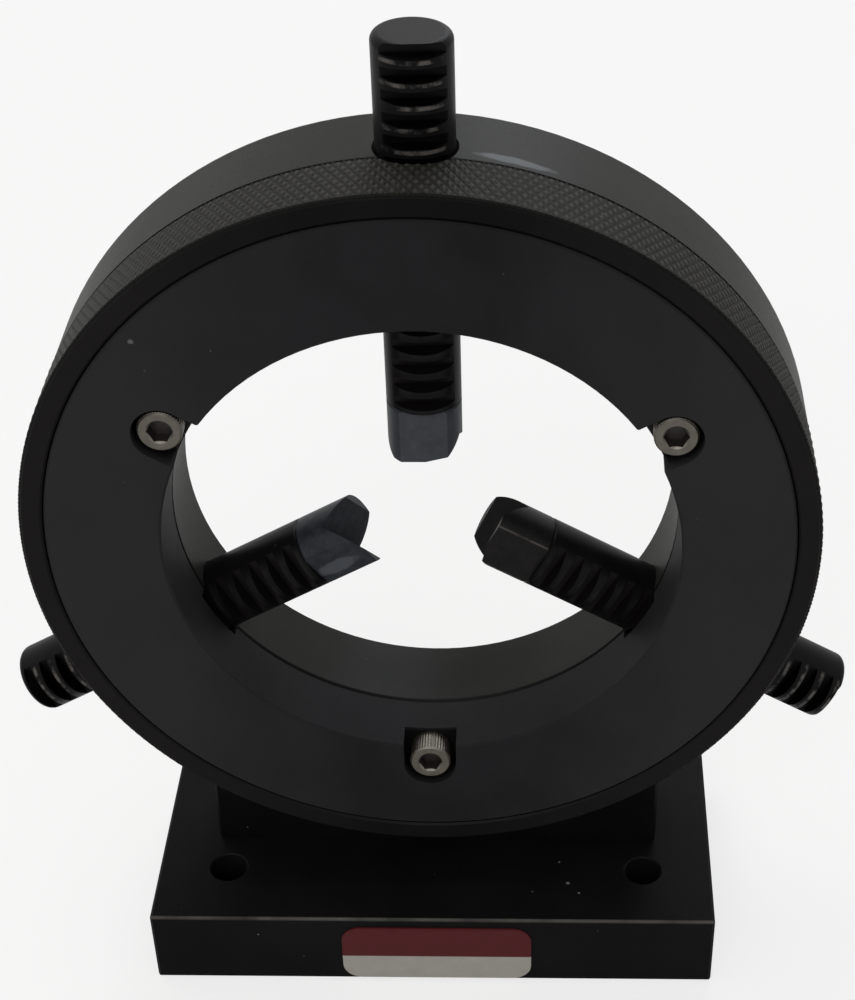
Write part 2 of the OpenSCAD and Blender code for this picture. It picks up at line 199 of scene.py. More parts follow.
# blotch, grain, pitch of the tool marks and dustGap in mm, dustSize as a share of dustGap,
# depths in hundredths of a mm
finishes = {
    # glass-blasted, then black anodised: matt and even
    "plate": {"dark": "#171718", "light": "#1d1d1f", "blotch": 14, "grain": 0.22, "grainDepth": 5.0,
              "marks": "face", "pitch": 0.5, "markDepth": 0.6, "smooth": 0.50, "rough": 0.62,
              "specular": 0.07, "dust": 0.5, "dustGap": 5.0, "dustSize": 0.035, "jointShade": 0.9},
    # fine turned, then black anodised: darker, with faint rings from the tool
    "ring": {"dark": "#0b0a0a", "light": "#0f0e0e", "blotch": 10, "grain": 0.30, "grainDepth": 1.2,
             "marks": "face", "pitch": 0.22, "markDepth": 1.2, "smooth": 0.34, "rough": 0.46,
             "specular": 0.05, "dust": 0.35, "dustGap": 6.0, "dustSize": 0.03, "jointShade": 0},
    # turned on the outside and in the bore: satin, with rings along the axis
    "housing": {"dark": "#222220", "light": "#272725", "blotch": 18, "grain": 0.35, "grainDepth": 1.0,
                "marks": "wall", "pitch": 0.30, "markDepth": 1.6, "smooth": 0.36, "rough": 0.46,
                "specular": 0.06, "dust": 0.35, "dustGap": 6.0, "dustSize": 0.03, "jointShade": 0.9},
    # milled block, satin
    "pedestal": {"dark": "#090909", "light": "#0d0d0d", "blotch": 12, "grain": 0.30, "grainDepth": 1.2,
                 "marks": "length", "pitch": 0.6, "markDepth": 1.0, "smooth": 0.40, "rough": 0.52,
                 "specular": 0.04, "dust": 0.5, "dustGap": 5.0, "dustSize": 0.035, "jointShade": 0},
    # milled plate, satin and a little dusty
    "base": {"dark": "#0f0e0f", "light": "#141314", "blotch": 16, "grain": 0.28, "grainDepth": 2.0,
             "marks": "length", "pitch": 0.7, "markDepth": 1.0, "smooth": 0.44, "rough": 0.56,
             "specular": 0.04, "dust": 0.8, "dustGap": 4.5, "dustSize": 0.04, "jointShade": 0},
    # rods: turned smooth, glossier than the rest
    "rod": {"dark": "#0b0a0b", "light": "#100f10", "blotch": 8, "grain": 0.25, "grainDepth": 1.0,
            "marks": "wall", "pitch": 0.25, "markDepth": 0.6, "smooth": 0.30, "rough": 0.42,
            "specular": 0.07, "dust": 0.3, "dustGap": 6.0, "dustSize": 0.03, "jointShade": 0},
    # diamond knurl: pressed, anodised, a little worn on its points
    "knurl": {"dark": "#181816", "light": "#262624", "blotch": 0.7, "grain": 0.20, "grainDepth": 2.0,
              "marks": "wall", "pitch": 0.4, "markDepth": 0.6, "smooth": 0.42, "rough": 0.56,
              "specular": 0.05, "dust": 0.5, "dustGap": 4.0, "dustSize": 0.04, "jointShade": 0.9},
}


# painted light: the left and right of the front of plate and ring are painted paler, where the light falls
# on them; lengths in mm
paintedSideLight = {"from": 12, "to": 44, "amount": 0.5, "plate": "#2e2e2f", "ring": "#1f1d1d"}


def paintSideLight(tree, place, skin, colour):
    axes = addNode(tree, "SeparateXYZ", inputs={0: (place, "Object")})
    aside = addNode(tree, "Math", {"operation": "ABSOLUTE"}, {0: (axes, 0)})
    share = addNode(tree, "MapRange", inputs={
        "Value": (aside, 0), "From Min": paintedSideLight["from"] * mm, "From Max": paintedSideLight["to"] * mm,
        "To Max": paintedSideLight["amount"]})
    return addNode(tree, "Mix", {"data_type": "RGBA"}, {
        0: (share, "Result"), 6: (skin, 2), 7: linearColour(colour)})


# the front plate: the notches round the screws are painted black, as painted shade in these recesses, and
# one chip on the left of the face shows pale metal; lengths in mm
notches = {"inside": 41.5, "outside": 42.0, "shadeFrom": 0.5, "shadeTo": 2.5, "paintedShade": 0.85, "colour": "#060506"}
plateChip = {"at": (-41.7, -17.5, 131.3), "grit": 0.5, "fray": 0.5, "edge": 0.72, "core": 0.58,
             "amount": 0.85, "colour": "#5c5a58"}


def plateSkinMaterial():
    material, tree, shader, place, skin = anodised("blastedBlackAnodised", finishes["plate"])
    skin = paintSideLight(tree, place, skin, paintedSideLight["plate"])
    radius = fromAxis(tree, place)[1]
    axes = addNode(tree, "SeparateXYZ", inputs={0: (place, "Object")})
    outside = addNode(tree, "MapRange", inputs={
        "Value": (radius, 1), "From Min": notches["inside"] * mm, "From Max": notches["outside"] * mm})
    # painted shade: the notches are painted black behind the front face
    sunk = addNode(tree, "MapRange", inputs={
        "Value": (axes, 1), "From Min": frontY + notches["shadeFrom"] * mm,
        "From Max": frontY + notches["shadeTo"] * mm, "To Max": notches["paintedShade"]})
    paintedShade = addNode(tree, "Math", {"operation": "MULTIPLY"}, {0: (outside, "Result"), 1: (sunk, "Result")})
    paintedTone = addNode(tree, "Mix", {"data_type": "RGBA"}, {
        0: (paintedShade, 0), 6: (skin, 2), 7: linearColour(notches["colour"])})
    ragged = addNode(tree, "TexNoise", inputs={
        "Vector": (place, "Object"), "Scale": 1 / (plateChip["grit"] * mm), "Detail": 3.0})
    chip = chipMask(tree, place, ragged, plateChip)
    chipped = addNode(tree, "Mix", {"data_type": "RGBA"}, {
        0: (chip, "Result"), 6: (paintedTone, 2), 7: linearColour(plateChip["colour"])})
    tree.links.new(chipped.outputs[2], shader.inputs["Base Color"])
    return material


# the housing: a narrow painted highlight lies beside the top rod, and painted shade darkens the bottom of
# the bore
housingHighlight = {"at": (14.5, -3.1, 153.9), "along": (-0.973, 0, 0.229), "across": (0.03, 1, 0),
          "long": 6.6, "short": 1.15, "soft": 0.35, "amount": 0.55, "colour": "#5d6163"}
# painted shade: the bottom of the bore is painted darker, where the housing shades it
boreShade = {"at": (0, 2, 50.8), "along": (1, 0, 0), "across": (0, 1, 0),
           "long": 30, "short": 11, "soft": 0.8, "amount": 0.45, "colour": "#0c0c0c"}


def housingSkinMaterial():
    material, tree, shader, place, skin = anodised("turnedBlackAnodised", finishes["housing"])
    paintedShade = paintedOval(tree, place, boreShade)
    paintedTone = addNode(tree, "Mix", {"data_type": "RGBA"}, {
        0: (paintedShade, "Result"), 6: (skin, 2), 7: linearColour(boreShade["colour"])})
    paintedHighlight = paintedOval(tree, place, housingHighlight)
    wearAndHighlight(tree, shader, paintedTone, (paintedHighlight, "Result"), housingHighlight["colour"])
    return material


# a jaw rod: its grooves are painted black outside the housing, as painted shade, and a little lighter than
# the crests inside it, as painted light against the shade there; the scroll rubs the outer half of each
# crest; the ends outside the housing are handled and knocked, the inner ends hardly at all. Lengths in mm,
# along the rod from the optical axis; bandMiddle is a share of the crest
rods = {"radius": 6.0, "end": 80.8, "pitch": 3.4, "crest": 1.1,
        "grooveFrom": 0.08, "grooveTo": 0.30, "plainFrom": 1.25, "plainTo": 1.35,
        "insideTo": 56, "outsideFrom": 64, "sheltered": 0.06,
        "paintedLightAndShade": "#120f10", "grooveShade": "#040304",
        "bandMiddle": 0.25, "bandOuter": 0.36, "bandInner": 0.22, "frontFrom": -3.6, "frontTo": -4.2,
        "patch": 2.2, "patchFrom": 0.44, "patchTo": 0.60, "rubbed": 0.30, "bare": "#8f8a84"}


def rodSkinMaterial(side, angle):
    material, tree, shader, place, skin = anodised("fineTurnedBlackAnodised_" + side, finishes["rod"])
    # x runs out along the rod, y to the back, both from its axis
    turned = addNode(tree, "VectorRotate", {"rotation_type": "Y_AXIS"}, {
        "Vector": (place, "Object"), "Center": (0, rodY, axisHeight), "Angle": math.radians(angle)})
    local = addNode(tree, "VectorMath", {"operation": "SUBTRACT"}, {
        0: (turned, 0), 1: (0, rodY, axisHeight)})
    across = addNode(tree, "VectorMath", {"operation": "MULTIPLY"}, {0: (local, 0), 1: (0, 1, 1)})
    reach = addNode(tree, "VectorMath", {"operation": "LENGTH"}, {0: (across, 0)})
    axes = addNode(tree, "SeparateXYZ", inputs={0: (local, 0)})
    deep = addNode(tree, "MapRange", inputs={
        "Value": (reach, 1), "From Min": (rods["radius"] - rods["grooveFrom"]) * mm,
        "From Max": (rods["radius"] - rods["grooveTo"]) * mm})
    toothed = addNode(tree, "MapRange", inputs={
        "Value": (axes, 0), "From Min": (rods["end"] - rods["plainFrom"]) * mm,
        "From Max": (rods["end"] - rods["plainTo"]) * mm})
    groove = addNode(tree, "Math", {"operation": "MULTIPLY"}, {0: (deep, "Result"), 1: (toothed, "Result")})
    # painted shade: outside the housing the grooves are painted black; inside it they are painted a
    # brownish tone a little lighter than the crests, as painted light against the shade there
    outsideShare = addNode(tree, "MapRange", inputs={
        "Value": (axes, 0), "From Min": rods["insideTo"] * mm, "From Max": rods["outsideFrom"] * mm,
        "To Min": rods["sheltered"]})
    film = addNode(tree, "Mix", {"data_type": "RGBA"}, {
        0: (outsideShare, "Result"), 6: linearColour(rods["paintedLightAndShade"]), 7: linearColour(rods["grooveShade"])})
    paintedTone = addNode(tree, "Mix", {"data_type": "RGBA"}, {0: (groove, 0), 6: (skin, 2), 7: (film, 2)})
    # distances are from the middle of the rubbed band; from rod to rod the teeth stand a third of
    # the pitch further on
    phase = -rods["pitch"] * (angle - 90) / 360 % rods["pitch"] + rods["crest"] * rods["bandMiddle"]
    shifted = addNode(tree, "Math", {"operation": "SUBTRACT"}, {0: (axes, 0), 1: phase * mm})
    offBand = addNode(tree, "Math", {"operation": "PINGPONG"}, {0: (shifted, 0), 1: rods["pitch"] / 2 * mm})
    band = addNode(tree, "MapRange", inputs={
        "Value": (offBand, 0), "From Min": rods["bandOuter"] * mm, "From Max": rods["bandInner"] * mm})
    front = addNode(tree, "MapRange", inputs={
        "Value": (axes, 1), "From Min": rods["frontFrom"] * mm, "From Max": rods["frontTo"] * mm})
    uneven = addNode(tree, "TexNoise", inputs={
        "Vector": (place, "Object"), "Scale": 1 / (rods["patch"] * mm), "Detail": 4.0, "Roughness": 0.6})
    patch = addNode(tree, "MapRange", inputs={
        "Value": (uneven, "Fac"), "From Min": rods["patchFrom"], "From Max": rods["patchTo"],
        "To Max": rods["rubbed"]})
    crest = addNode(tree, "Math", {"operation": "MULTIPLY"}, {0: (band, "Result"), 1: (front, "Result")})
    worn = addNode(tree, "Math", {"operation": "MULTIPLY"}, {0: (crest, 0), 1: (patch, "Result")})
    mask = addNode(tree, "Math", {"operation": "MULTIPLY"}, {0: (worn, 0), 1: (outsideShare, "Result")})
    wearAndHighlight(tree, shader, paintedTone, (mask, 0), rods["bare"])
    return material


# the scroll ring: its outer front edge is rubbed bright, most at the lower left and right;
# lengths in mm, the height from the optical axis
ringEdge = {"from": 0.45, "to": 0.1, "highest": 5, "lowest": -30, "patch": 5, "patchFrom": 0.42,
            "patchTo": 0.62, "rubbed": 0.45}


def ringSkinMaterial():
    material, tree, shader, place, skin = anodised("handledBlackAnodised", finishes["ring"])
    skin = paintSideLight(tree, place, skin, paintedSideLight["ring"])
    flat, radius = fromAxis(tree, place)
    atEdge = addNode(tree, "MapRange", inputs={
        "Value": (radius, 1), "From Min": bodyRadius - ringEdge["from"] * mm,
        "From Max": bodyRadius - ringEdge["to"] * mm})
    axes = addNode(tree, "SeparateXYZ", inputs={0: (flat, 0)})
    low = addNode(tree, "MapRange", inputs={
        "Value": (axes, 2), "From Min": ringEdge["highest"] * mm, "From Max": ringEdge["lowest"] * mm})
    uneven = addNode(tree, "TexNoise", inputs={
        "Vector": (place, "Object"), "Scale": 1 / (ringEdge["patch"] * mm), "Detail": 5.0,
        "Roughness": 0.65})
    patch = addNode(tree, "MapRange", inputs={
        "Value": (uneven, "Fac"), "From Min": ringEdge["patchFrom"], "From Max": ringEdge["patchTo"]})
    worn = addNode(tree, "Math", {"operation": "MULTIPLY"}, {0: (atEdge, "Result"), 1: (patch, "Result")})
    mask = addNode(tree, "Math", {"operation": "MULTIPLY"}, {0: (worn, 0), 1: (low, "Result")})
    soft = addNode(tree, "Math", {"operation": "MULTIPLY"}, {0: (mask, 0), 1: ringEdge["rubbed"]})
    wearAndHighlight(tree, shader, skin, (soft, 0))
    return material


# the base plate: its upper front edge is rubbed, and three chips show on its top beside the
# middle, each with its place and size; lengths in mm
baseWear = {"frontFrom": 0.60, "frontTo": 0.40, "topFrom": 0.50, "topTo": 0.30,
            "patch": 7, "patchFrom": 0.25, "patchTo": 0.70, "least": 0.05, "most": 0.19,
            "grit": 0.9, "chipFray": 0.9, "chipCore": 0.7, "chipAmount": 0.8,
            "chips": [(24.3, -16.1, 0.75), (26.3, -18.5, 0.45), (22.7, -10.8, 0.5)]}


def baseSkinMaterial():
    material, tree, shader, place, skin = anodised("dustyBlackAnodised", finishes["base"])
    axes = addNode(tree, "SeparateXYZ", inputs={0: (place, "Object")})
    atFront = addNode(tree, "MapRange", inputs={
        "Value": (axes, 1), "From Min": (basePlate["front"] + baseWear["frontFrom"]) * mm,
        "From Max": (basePlate["front"] + baseWear["frontTo"]) * mm})
    atTop = addNode(tree, "MapRange", inputs={
        "Value": (axes, 2), "From Min": (basePlate["top"] - baseWear["topFrom"]) * mm,
        "From Max": (basePlate["top"] - baseWear["topTo"]) * mm})
    uneven = addNode(tree, "TexNoise", inputs={
        "Vector": (place, "Object"), "Scale": 1 / (baseWear["patch"] * mm), "Detail": 5.0,
        "Roughness": 0.6})
    patch = addNode(tree, "MapRange", inputs={
        "Value": (uneven, "Fac"), "From Min": baseWear["patchFrom"], "From Max": baseWear["patchTo"],
        "To Min": baseWear["least"], "To Max": baseWear["most"]})
    edge = addNode(tree, "Math", {"operation": "MULTIPLY"}, {0: (atFront, "Result"), 1: (atTop, "Result")})
    worn = addNode(tree, "Math", {"operation": "MULTIPLY"}, {0: (edge, 0), 1: (patch, "Result")})
    ragged = addNode(tree, "TexNoise", inputs={
        "Vector": (place, "Object"), "Scale": 1 / (baseWear["grit"] * mm), "Detail": 3.0})
    for x, y, size in baseWear["chips"]:
        chip = chipMask(tree, place, ragged, {
            "at": (x, y, basePlate["top"]), "fray": size * baseWear["chipFray"], "edge": size,
            "core": size * baseWear["chipCore"], "amount": baseWear["chipAmount"]})
        worn = addNode(tree, "Math", {"operation": "MAXIMUM"}, {0: (worn, 0), 1: (chip, "Result")})
    wearAndHighlight(tree, shader, skin, (worn, 0))
    return material


# the knurl: the points of the diamonds are rubbed paler than their flanks, and the front chamfer
# keeps the black of the ring's face; lengths in mm
knurlWear = {"pointFrom": 0.08, "pointTo": 0.22, "rubbed": 0.10, "point": "#8f8b80",
             "chamferFrom": 0.75, "chamferTo": 0.45, "black": 0.85, "chamfer": "#0c0b0b"}


def knurlSkinMaterial():
    material, tree, shader, place, skin = anodised("knurledBlackAnodised", finishes["knurl"])
    radius = fromAxis(tree, place)[1]
    onPoint = addNode(tree, "MapRange", inputs={
        "Value": (radius, 1), "From Min": bodyRadius + knurlWear["pointFrom"] * mm,
        "From Max": bodyRadius + knurlWear["pointTo"] * mm, "To Max": knurlWear["rubbed"]})
    axes = addNode(tree, "SeparateXYZ", inputs={0: (place, "Object")})
    chamfer = addNode(tree, "MapRange", inputs={
        "Value": (axes, 1), "From Min": frontY + knurlWear["chamferFrom"] * mm,
        "From Max": frontY + knurlWear["chamferTo"] * mm, "To Max": knurlWear["black"]})
    darker = addNode(tree, "Mix", {"data_type": "RGBA"}, {
        0: (chamfer, "Result"), 6: (skin, 2), 7: linearColour(knurlWear["chamfer"])})
    wearAndHighlight(tree, shader, darker, (onPoint, "Result"), knurlWear["point"])
    return material


plateSkin = plateSkinMaterial()
housingSkin = housingSkinMaterial()
pedestalSkin = anodised("milledBlackAnodised", finishes["pedestal"])[0]
rodSkins = {side: rodSkinMaterial(side, angle) for side, angle in jawAngles.items()}
ringSkin = ringSkinMaterial()
baseSkin = baseSkinMaterial()
knurlSkin = knurlSkinMaterial()


# acetal, machined: a hard blue-grey plastic with a smooth, slightly waxy skin and fine scratches; the upper
# edge of the flat is painted pale, partly as wear and partly as a painted highlight along the ridge.
# Lengths in mm, from the axis of the rod
acetal = {"edgeFrom": 3.54, "edgeTo": 3.66, "frontFrom": 4.52, "frontTo": 4.62,
          "patch": 1.8, "patchFrom": 0.34, "patchTo": 0.56, "least": 0.3, "rubbed": "#6b6561",
          "paintedHighlight": "#4a4e53", "scratch": 0.35, "scratchDepth": 0.03, "scratchStrength": 0.9,
          "smooth": 0.30, "rough": 0.46, "specular": 0.12}


def jawPlasticMaterial(name, look):
    material, tree, shader = startMaterial(name)
    place = addNode(tree, "TexCoord")
    cloud = addNode(tree, "TexNoise", inputs={
        "Vector": (place, "Object"), "Scale": 1 / (look["cloud"] * mm), "Detail": 5.0,
        "Roughness": 0.65})
    spread = addNode(tree, "MapRange", inputs={
        "Value": (cloud, "Fac"), "From Min": cloudSpread[0], "From Max": cloudSpread[1]})
    colour = addNode(tree, "Mix", {"data_type": "RGBA"}, {
        0: (spread, "Result"), 6: linearColour(look["dark"]), 7: linearColour(look["light"])})
    # painted highlight: a pale bluish oval on the flat
    if "paintedHighlight" in look:
        spot = paintedOval(tree, place, look["paintedHighlight"])
        colour = addNode(tree, "Mix", {"data_type": "RGBA"}, {
            0: (spot, "Result"), 6: (colour, 2), 7: linearColour(acetal["paintedHighlight"])})
    offset = addNode(tree, "VectorMath", {"operation": "SUBTRACT"}, {
        0: (place, "Object"), 1: (0, rodY, axisHeight)})
    depth = addNode(tree, "VectorMath", {"operation": "DOT_PRODUCT"}, {0: (offset, 0), 1: look["normal"]})
    rise = addNode(tree, "VectorMath", {"operation": "DOT_PRODUCT"}, {0: (offset, 0), 1: look["across"]})
    nearEdge = addNode(tree, "MapRange", inputs={
        "Value": (rise, 1), "From Min": acetal["edgeFrom"] * mm, "From Max": acetal["edgeTo"] * mm})
    onFront = addNode(tree, "MapRange", inputs={
        "Value": (depth, 1), "From Min": acetal["frontFrom"] * mm, "From Max": acetal["frontTo"] * mm})
    uneven = addNode(tree, "TexNoise", inputs={
        "Vector": (place, "Object"), "Scale": 1 / (acetal["patch"] * mm), "Detail": 4.0})
    patch = addNode(tree, "MapRange", inputs={
        "Value": (uneven, "Fac"), "From Min": acetal["patchFrom"], "From Max": acetal["patchTo"],
        "To Min": look["edge"] * acetal["least"], "To Max": look["edge"]})
    # a pale line along the upper edge of the flat: partly wear, partly painted highlight along the ridge
    edge = addNode(tree, "Math", {"operation": "MULTIPLY"}, {
        0: (nearEdge, "Result"), 1: (onFront, "Result")})
    worn = addNode(tree, "Math", {"operation": "MULTIPLY"}, {0: (edge, 0), 1: (patch, "Result")})
    colour = addNode(tree, "Mix", {"data_type": "RGBA"}, {
        0: (worn, 0), 6: (colour, 2), 7: linearColour(acetal["rubbed"])})
    scratch = addNode(tree, "TexNoise", inputs={
        "Vector": (place, "Object"), "Scale": 1 / (acetal["scratch"] * mm), "Detail": 5.0,
        "Roughness": 0.7})
    bump = addNode(tree, "Bump", inputs={
        "Height": (scratch, "Fac"), "Distance": acetal["scratchDepth"] * mm,
        "Strength": acetal["scratchStrength"]})
    rough = addNode(tree, "MapRange", inputs={
        "Value": (scratch, "Fac"), "From Min": grainSpread[0], "From Max": grainSpread[1],
        "To Min": acetal["smooth"], "To Max": acetal["rough"]})
    linkSkin(tree, shader, colour, rough, bump)
    shader.inputs["Specular IOR Level"].default_value = acetal["specular"]
    return material


# the top tip is clean, the left one has a painted highlight on its flat, and the right one has taken up the
# most oil; turn is the angle of the flat round the rod, in degrees, and cloud is in mm
tipLooks = {
    "top": {"name": "machinedAcetal", "turn": 1, "dark": "#34363a", "light": "#3d4045", "cloud": 3,
            "edge": 0.1},
    "left": {"name": "highlightedAcetal", "turn": -15, "dark": "#232428", "light": "#303237", "cloud": 1.6,
             "edge": 0.0},
    "right": {"name": "oiledAcetal", "turn": -2, "dark": "#0e0d0d", "light": "#171515", "cloud": 1.8,
              "edge": 0.42},
}
tipHighlight = {"at": (-15.07, -5.81, 81.0), "long": 4.0, "short": 1.7, "soft": 0.3, "amount": 0.9}
tipSkins = {}
for side, look in tipLooks.items():
    stand = (Matrix.Rotation(math.radians(-jawAngles[side]), 3, "Y")
             @ Matrix.Rotation(math.radians(look["turn"]), 3, "X"))
    look["normal"] = list(stand @ Vector((0, -1, 0)))
    look["across"] = list(stand @ Vector((0, 0, 1)))
    if side == "left":
        look["paintedHighlight"] = {**tipHighlight, "along": stand @ Vector((1, 0, 0)), "across": look["across"]}
    tipSkins[side] = jawPlasticMaterial(look["name"], look)


# steel screws: cold-headed and tumbled, so a soft shine with small handling marks; lengths in mm
steel = {"cloud": 1.4, "marks": 0.25, "markDepth": 0.015, "markStrength": 0.7}


def steelMaterial(name, look):
    material, tree, shader = startMaterial(name)
    place = addNode(tree, "TexCoord")
    cloud = addNode(tree, "TexNoise", inputs={
        "Vector": (place, "Object"), "Scale": 1 / (steel["cloud"] * mm), "Detail": 5.0})
    colour = addNode(tree, "Mix", {"data_type": "RGBA"}, {
        0: (cloud, "Fac"), 6: linearColour(look["dark"]), 7: linearColour(look["light"])})
    fine = addNode(tree, "TexNoise", inputs={
        "Vector": (place, "Object"), "Scale": 1 / (steel["marks"] * mm), "Detail": 4.0})
    rough = addNode(tree, "MapRange", inputs={
        "Value": (fine, "Fac"), "From Min": grainSpread[0], "From Max": grainSpread[1],
        "To Min": look["smooth"], "To Max": look["rough"]})
    bump = addNode(tree, "Bump", inputs={
        "Height": (fine, "Fac"), "Distance": steel["markDepth"] * mm, "Strength": steel["markStrength"]})
    linkSkin(tree, shader, colour, rough, bump)
    shader.inputs["Metallic"].default_value = 1.0
    return material, tree, shader, place, colour


# the sockets of the plate screws are painted dark brown and lose their metal, as painted shade in these
# recesses; lengths in mm
sockets = {"mouth": -16.55, "fill": 0.25, "radius": 2.10, "edge": 0.08, "socketShade": "#1b1511"}


def screwMiddle(angle, y):
    turn = math.radians(angle)
    return Vector((screwCircle * math.cos(turn), y, screwCircle * math.sin(turn) + axisHeight))


def socketShadedSteelMaterial(name, look):
    material, tree, shader, place, bright = steelMaterial(name, look)
    axes = addNode(tree, "SeparateXYZ", inputs={0: (place, "Object")})
    under = addNode(tree, "MapRange", inputs={
        "Value": (axes, 1), "From Min": sockets["mouth"] * mm,
        "From Max": (sockets["mouth"] + sockets["fill"]) * mm})
    flat = addNode(tree, "VectorMath", {"operation": "MULTIPLY"}, {0: (place, "Object"), 1: (1, 0, 1)})
    nearest = 1.0
    for angle in screwAngles.values():
        gap = addNode(tree, "VectorMath", {"operation": "DISTANCE"}, {
            0: (flat, 0), 1: screwMiddle(angle, 0)})
        nearest = (addNode(tree, "Math", {"operation": "MINIMUM"}, {0: (gap, 1), 1: nearest}), 0)
    inside = addNode(tree, "MapRange", inputs={
        "Value": nearest, "From Min": (sockets["radius"] + sockets["edge"]) * mm,
        "From Max": sockets["radius"] * mm})
    socketShade = addNode(tree, "Math", {"operation": "MULTIPLY"}, {0: (under, "Result"), 1: (inside, "Result")})
    colour = addNode(tree, "Mix", {"data_type": "RGBA"}, {
        0: (socketShade, 0), 6: (bright, 2), 7: linearColour(sockets["socketShade"])})
    metal = addNode(tree, "Math", {"operation": "SUBTRACT"}, {0: 1.0, 1: (socketShade, 0)})
    tree.links.new(colour.outputs[2], shader.inputs["Base Color"])
    tree.links.new(metal.outputs[0], shader.inputs["Metallic"])
    return material


screwSteel = socketShadedSteelMaterial("tumbledStainlessSteel", {
    "dark": "#54514b", "light": "#77726a", "smooth": 0.38, "rough": 0.54})
oxideSteel = steelMaterial("blackOxideSteel", {
    "dark": "#1b1b1c", "light": "#2a2a2b", "smooth": 0.34, "rough": 0.50})[0]
print("materials made")


# the first name that a node's name starts with gives its finish
skins = {"base_plate": baseSkin, "pedestal": pedestalSkin, "housing": housingSkin, "scroll_ring": ringSkin,
         "front_plate": plateSkin, "plate_screw": screwSteel, "jaw_stud": oxideSteel,
         "saddle_screw": oxideSteel, "base_screw": oxideSteel}
for side in jawAngles:
    skins["jaw_rod_" + side] = rodSkins[side]
    skins["jaw_tip_" + side] = tipSkins[side]
for name, node in cadNodes.items():
    skin = next(skins[key] for key in skins if name.startswith(key))
    node.data.materials.clear()
    node.data.materials.append(skin)
print("finishes put on", len(cadNodes), "machined parts")


weldGap = 1e-7      # points nearer to each other than this, in metres, become one
seamGap = 1e-6      # the same where the two ends of a band meet


def finishPiece(name, mesh, material, body):
    bmesh.ops.remove_doubles(mesh, verts=mesh.verts, dist=weldGap)
    bmesh.ops.recalc_face_normals(mesh, faces=mesh.faces)
    data = bpy.data.meshes.new(name)
    mesh.to_mesh(data)
    mesh.free()
    piece = bpy.data.objects.new(name, data)
    bpy.context.scene.collection.objects.link(piece)
    data.materials.append(material)
    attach(piece, body)
    return piece


def newVerts(made):
    return [part for part in made["geom"] if isinstance(part, bmesh.types.BMVert)]


# diamond knurl on the scroll ring and on the rim of the housing, each band on its own body;
# lengths in mm, twist and wornSide in degrees
knurl = {"radius": 63.5, "teeth": 256, "twist": 30, "valley": 0.02, "depth": 0.21, "flank": 1.12,
         "sink": 0.25, "rowStep": 0.345, "columnsPerTooth": 4,
         "wornDepth": 0.5, "wornSide": 45, "wornFrom": 0.3, "wornOver": 0.9,
         "chamfer": 0.5, "chamferLift": 0.06, "chamferShare": 0.6,
         "holeRadius": 6.66, "holeSnap": 0.55, "holeReach": 0.3,
         "ring": (-17.28, -8.56), "rim": (-8.54, -5.74)}


# the radius of the knurl in mm, at a share of the way round and at y along the axis
def knurlRadius(around, y, pitchY):
    fromFront = y - frontY / mm
    tooth = (around + 0.5) * knurl["teeth"]
    rightHand = tooth + fromFront / pitchY
    leftHand = tooth - fromFront / pitchY
    dip = max(abs(rightHand - round(rightHand)), abs(leftHand - round(leftHand)))
    # fingers have worn the diamonds lower on the left half
    fresh = math.cos((around + 0.5) * 2 * math.pi - math.radians(knurl["wornSide"]))
    freshShare = min(1, max(0, (fresh + knurl["wornFrom"]) / knurl["wornOver"]))
    worn = knurl["wornDepth"] + (1 - knurl["wornDepth"]) * freshShare
    height = max(knurl["depth"] * worn * min(1.0, knurl["flank"] * (1 - 2 * dip)), 0)
    chamfer = (knurl["radius"] + fromFront - knurl["chamfer"] + knurl["chamferLift"]
               + knurl["chamferShare"] * height)
    return min(knurl["radius"] + knurl["valley"] + height, chamfer)


# the rods pass through the rim: points well inside a hole go, and those near its edge move to it
def cutRodHoles(mesh):
    gone = []
    for vert in mesh.verts:
        for angle in jawAngles.values():
            turn = (vert.co.z - math.radians(angle) + math.pi) % (2 * math.pi) - math.pi
            aside, fore = vert.co.x * math.sin(turn), vert.co.y - rodY / mm
            reach = math.hypot(aside, fore)
            if abs(turn) >= knurl["holeReach"] or reach >= knurl["holeRadius"]:
                continue
            if knurl["holeRadius"] - reach >= knurl["holeSnap"]:
                gone.append(vert)
                continue
            stretch = knurl["holeRadius"] / reach
            vert.co.y = rodY / mm + fore * stretch
            vert.co.z += (aside * stretch - aside) / vert.co.x
            vert.co.x = knurl["radius"] + knurl["valley"]
    bmesh.ops.delete(mesh, geom=gone, context="VERTS")


def knurlBand(name, span, body, cutHoles):
    startY, endY = span
    rows = max(2, round((endY - startY) / knurl["rowStep"]))
    mesh = bmesh.new()
    bmesh.ops.create_grid(mesh, x_segments=knurl["teeth"] * knurl["columnsPerTooth"], y_segments=rows,
                          size=0.5)
    pitchY = 2 * math.pi * knurl["radius"] / knurl["teeth"] / math.tan(math.radians(knurl["twist"]))
    for vert in mesh.verts:
        around = vert.co.x
        y = startY + (vert.co.y + 0.5) * (endY - startY)
        # z holds the angle for now
        vert.co = (knurlRadius(around, y, pitchY), y, (around + 0.5) * 2 * math.pi)
    if cutHoles:
        cutRodHoles(mesh)
    for vert in mesh.verts:
        radius, y, angle = vert.co
        vert.co = (radius * math.cos(angle) * mm, y * mm, radius * math.sin(angle) * mm + axisHeight)
    # close the seam of the band, then turn its open edges down into the part it sits on
    bmesh.ops.remove_doubles(mesh, verts=mesh.verts, dist=seamGap)
    rim = [edge for edge in mesh.edges if edge.is_boundary]
    sunkRadius = knurl["radius"] - knurl["sink"]
    for vert in newVerts(bmesh.ops.extrude_edge_only(mesh, edges=rim)):
        out = Vector((vert.co.x, 0, vert.co.z - axisHeight))
        if out.length > sunkRadius * mm:
            out = out.normalized() * sunkRadius * mm
        vert.co = (out.x, vert.co.y, out.z + axisHeight)
    piece = finishPiece(name, mesh, knurlSkin, body)
    print(name, len(piece.data.polygons), "faces")


